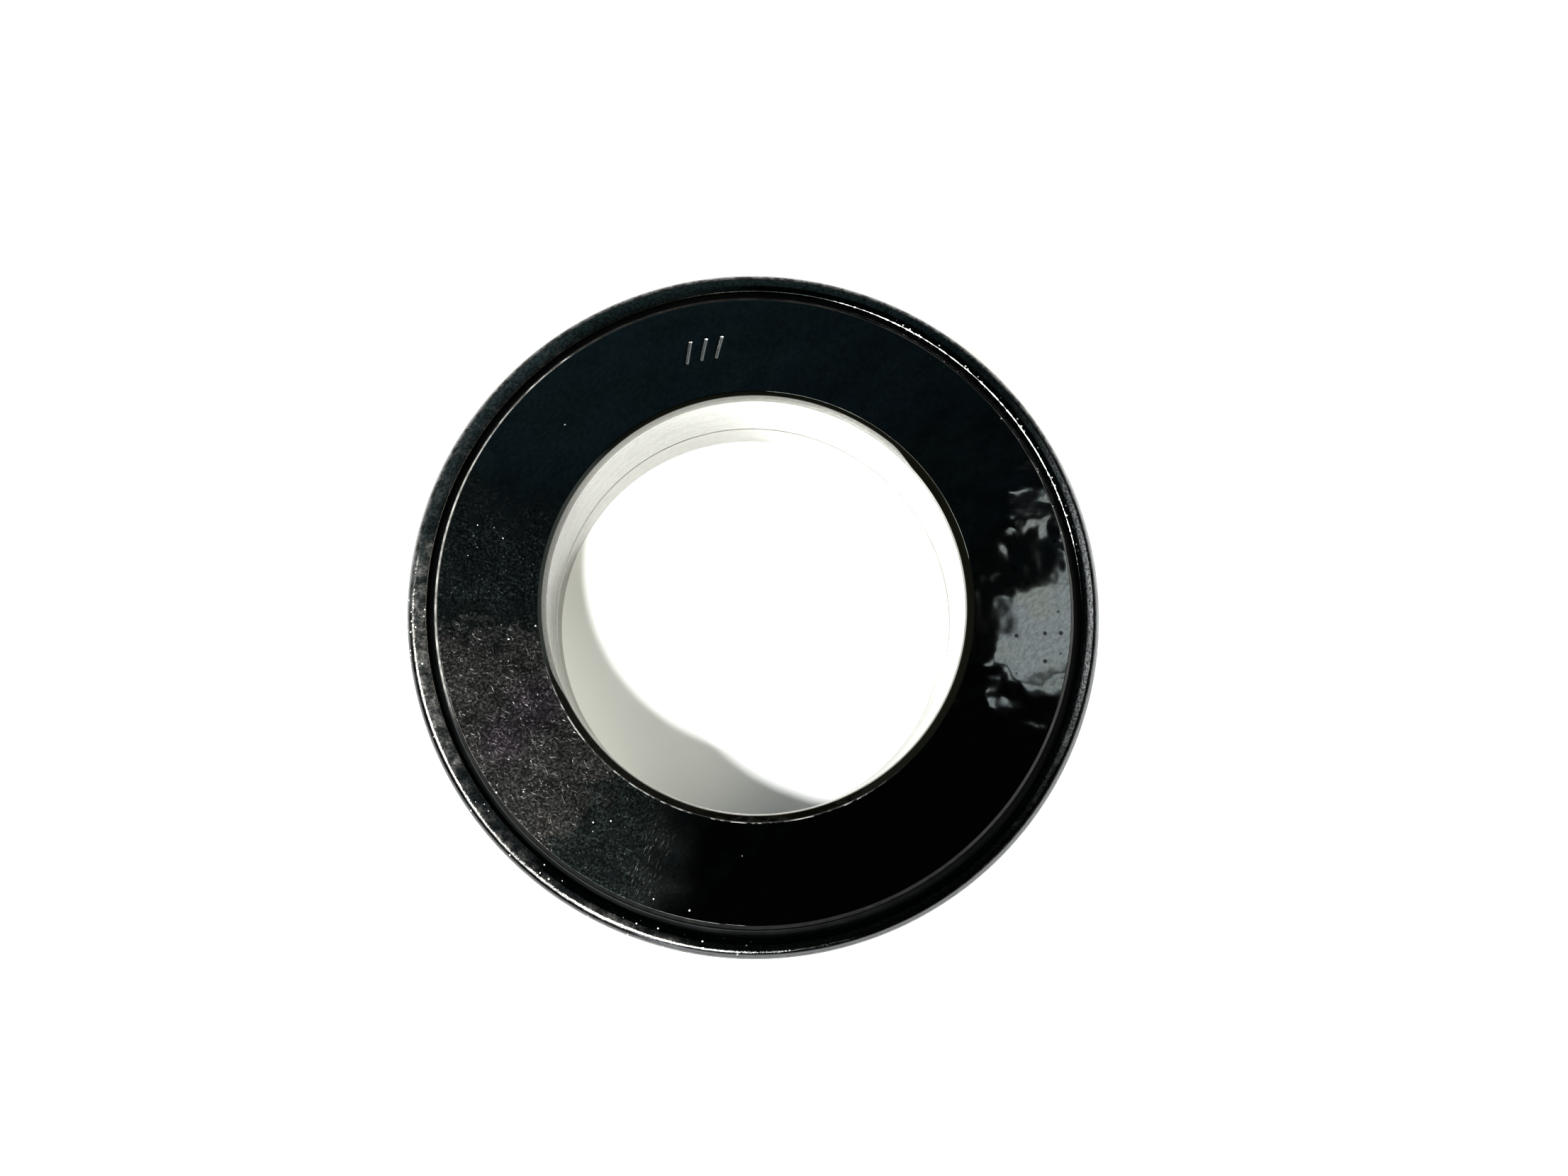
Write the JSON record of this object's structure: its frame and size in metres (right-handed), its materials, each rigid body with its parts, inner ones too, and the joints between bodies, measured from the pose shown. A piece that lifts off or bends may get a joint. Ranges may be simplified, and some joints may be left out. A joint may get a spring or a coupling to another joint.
{
  "type": "thrust ball bearing",
  "caption": "Round thrust ball bearing with two grooved steel washers, a caged ball set and a pressed cover, for an axial load round a shaft.",
  "frame": {"origin": "centre of the bearing's lower face, on its axis", "axes": "+Z along the bearing's axis, from the housing washer towards the shaft washer; +X and +Y lie in the lower face, with the first ball on +X"},
  "size_m": [0.0748, 0.0748, 0.018],
  "materials": {
    "oiled_steel": "gloss",
    "ground_steel": "satin",
    "pressed_steel": "gloss",
    "cage_steel": "satin",
    "ball_steel": "polished"
  },
  "bodies": {
    "housing": {"housing_washer": "ground_steel", "cover": "pressed_steel"},
    "shaft_ring": {"shaft_washer": "oiled_steel"},
    "cage": {"ball_cage": "cage_steel"},
    "ball_01_body": {"ball_01": "ball_steel"},
    "ball_02_body": {"ball_02": "ball_steel"},
    "ball_03_body": {"ball_03": "ball_steel"},
    "ball_04_body": {"ball_04": "ball_steel"},
    "ball_05_body": {"ball_05": "ball_steel"},
    "ball_06_body": {"ball_06": "ball_steel"},
    "ball_07_body": {"ball_07": "ball_steel"},
    "ball_08_body": {"ball_08": "ball_steel"},
    "ball_09_body": {"ball_09": "ball_steel"},
    "ball_10_body": {"ball_10": "ball_steel"},
    "ball_11_body": {"ball_11": "ball_steel"},
    "ball_12_body": {"ball_12": "ball_steel"},
    "ball_13_body": {"ball_13": "ball_steel"},
    "ball_14_body": {"ball_14": "ball_steel"},
    "ball_15_body": {"ball_15": "ball_steel"},
    "ball_16_body": {"ball_16": "ball_steel"},
    "ball_17_body": {"ball_17": "ball_steel"},
    "ball_18_body": {"ball_18": "ball_steel"}
  },
  "joints": [
    {"name": "shaft_spin", "type": "hinge", "parent": "housing", "child": "shaft_ring", "pos_m": [0, 0, 0.009], "axis": [0, 0, 1], "continuous": true},
    {"name": "cage_orbit", "type": "hinge", "parent": "housing", "child": "cage", "pos_m": [0, 0, 0.009], "axis": [0, 0, 1], "continuous": true},
    {"name": "ball_01_roll", "type": "hinge", "parent": "cage", "child": "ball_01_body", "pos_m": [0.0302, 0, 0.009], "axis": [1, 0, 0], "continuous": true},
    {"name": "ball_02_roll", "type": "hinge", "parent": "cage", "child": "ball_02_body", "pos_m": [0.02838, 0.01033, 0.009], "axis": [0.9397, 0.342, 0], "continuous": true},
    {"name": "ball_03_roll", "type": "hinge", "parent": "cage", "child": "ball_03_body", "pos_m": [0.02313, 0.01941, 0.009], "axis": [0.766, 0.6428, 0], "continuous": true},
    {"name": "ball_04_roll", "type": "hinge", "parent": "cage", "child": "ball_04_body", "pos_m": [0.0151, 0.02615, 0.009], "axis": [0.5, 0.866, 0], "continuous": true},
    {"name": "ball_05_roll", "type": "hinge", "parent": "cage", "child": "ball_05_body", "pos_m": [0.00524, 0.02974, 0.009], "axis": [0.1736, 0.9848, 0], "continuous": true},
    {"name": "ball_06_roll", "type": "hinge", "parent": "cage", "child": "ball_06_body", "pos_m": [-0.00524, 0.02974, 0.009], "axis": [-0.1736, 0.9848, 0], "continuous": true},
    {"name": "ball_07_roll", "type": "hinge", "parent": "cage", "child": "ball_07_body", "pos_m": [-0.0151, 0.02615, 0.009], "axis": [-0.5, 0.866, 0], "continuous": true},
    {"name": "ball_08_roll", "type": "hinge", "parent": "cage", "child": "ball_08_body", "pos_m": [-0.02313, 0.01941, 0.009], "axis": [-0.766, 0.6428, 0], "continuous": true},
    {"name": "ball_09_roll", "type": "hinge", "parent": "cage", "child": "ball_09_body", "pos_m": [-0.02838, 0.01033, 0.009], "axis": [-0.9397, 0.342, 0], "continuous": true},
    {"name": "ball_10_roll", "type": "hinge", "parent": "cage", "child": "ball_10_body", "pos_m": [-0.0302, 0, 0.009], "axis": [-1, 0, 0], "continuous": true},
    {"name": "ball_11_roll", "type": "hinge", "parent": "cage", "child": "ball_11_body", "pos_m": [-0.02838, -0.01033, 0.009], "axis": [-0.9397, -0.342, 0], "continuous": true},
    {"name": "ball_12_roll", "type": "hinge", "parent": "cage", "child": "ball_12_body", "pos_m": [-0.02313, -0.01941, 0.009], "axis": [-0.766, -0.6428, 0], "continuous": true},
    {"name": "ball_13_roll", "type": "hinge", "parent": "cage", "child": "ball_13_body", "pos_m": [-0.0151, -0.02615, 0.009], "axis": [-0.5, -0.866, 0], "continuous": true},
    {"name": "ball_14_roll", "type": "hinge", "parent": "cage", "child": "ball_14_body", "pos_m": [-0.00524, -0.02974, 0.009], "axis": [-0.1736, -0.9848, 0], "continuous": true},
    {"name": "ball_15_roll", "type": "hinge", "parent": "cage", "child": "ball_15_body", "pos_m": [0.00524, -0.02974, 0.009], "axis": [0.1736, -0.9848, 0], "continuous": true},
    {"name": "ball_16_roll", "type": "hinge", "parent": "cage", "child": "ball_16_body", "pos_m": [0.0151, -0.02615, 0.009], "axis": [0.5, -0.866, 0], "continuous": true},
    {"name": "ball_17_roll", "type": "hinge", "parent": "cage", "child": "ball_17_body", "pos_m": [0.02313, -0.01941, 0.009], "axis": [0.766, -0.6428, 0], "continuous": true},
    {"name": "ball_18_roll", "type": "hinge", "parent": "cage", "child": "ball_18_body", "pos_m": [0.02838, -0.01033, 0.009], "axis": [0.9397, -0.342, 0], "continuous": true}
  ],
  "couplings": [
    {"joint": "cage_orbit", "follows": "shaft_spin", "ratio": 0.5},
    {"joint": "ball_01_roll", "follows": "shaft_spin", "ratio": -3.4589},
    {"joint": "ball_02_roll", "follows": "shaft_spin", "ratio": -3.4589},
    {"joint": "ball_03_roll", "follows": "shaft_spin", "ratio": -3.4589},
    {"joint": "ball_04_roll", "follows": "shaft_spin", "ratio": -3.4589},
    {"joint": "ball_05_roll", "follows": "shaft_spin", "ratio": -3.4589},
    {"joint": "ball_06_roll", "follows": "shaft_spin", "ratio": -3.4589},
    {"joint": "ball_07_roll", "follows": "shaft_spin", "ratio": -3.4589},
    {"joint": "ball_08_roll", "follows": "shaft_spin", "ratio": -3.4589},
    {"joint": "ball_09_roll", "follows": "shaft_spin", "ratio": -3.4589},
    {"joint": "ball_10_roll", "follows": "shaft_spin", "ratio": -3.4589},
    {"joint": "ball_11_roll", "follows": "shaft_spin", "ratio": -3.4589},
    {"joint": "ball_12_roll", "follows": "shaft_spin", "ratio": -3.4589},
    {"joint": "ball_13_roll", "follows": "shaft_spin", "ratio": -3.4589},
    {"joint": "ball_14_roll", "follows": "shaft_spin", "ratio": -3.4589},
    {"joint": "ball_15_roll", "follows": "shaft_spin", "ratio": -3.4589},
    {"joint": "ball_16_roll", "follows": "shaft_spin", "ratio": -3.4589},
    {"joint": "ball_17_roll", "follows": "shaft_spin", "ratio": -3.4589},
    {"joint": "ball_18_roll", "follows": "shaft_spin", "ratio": -3.4589}
  ]
}
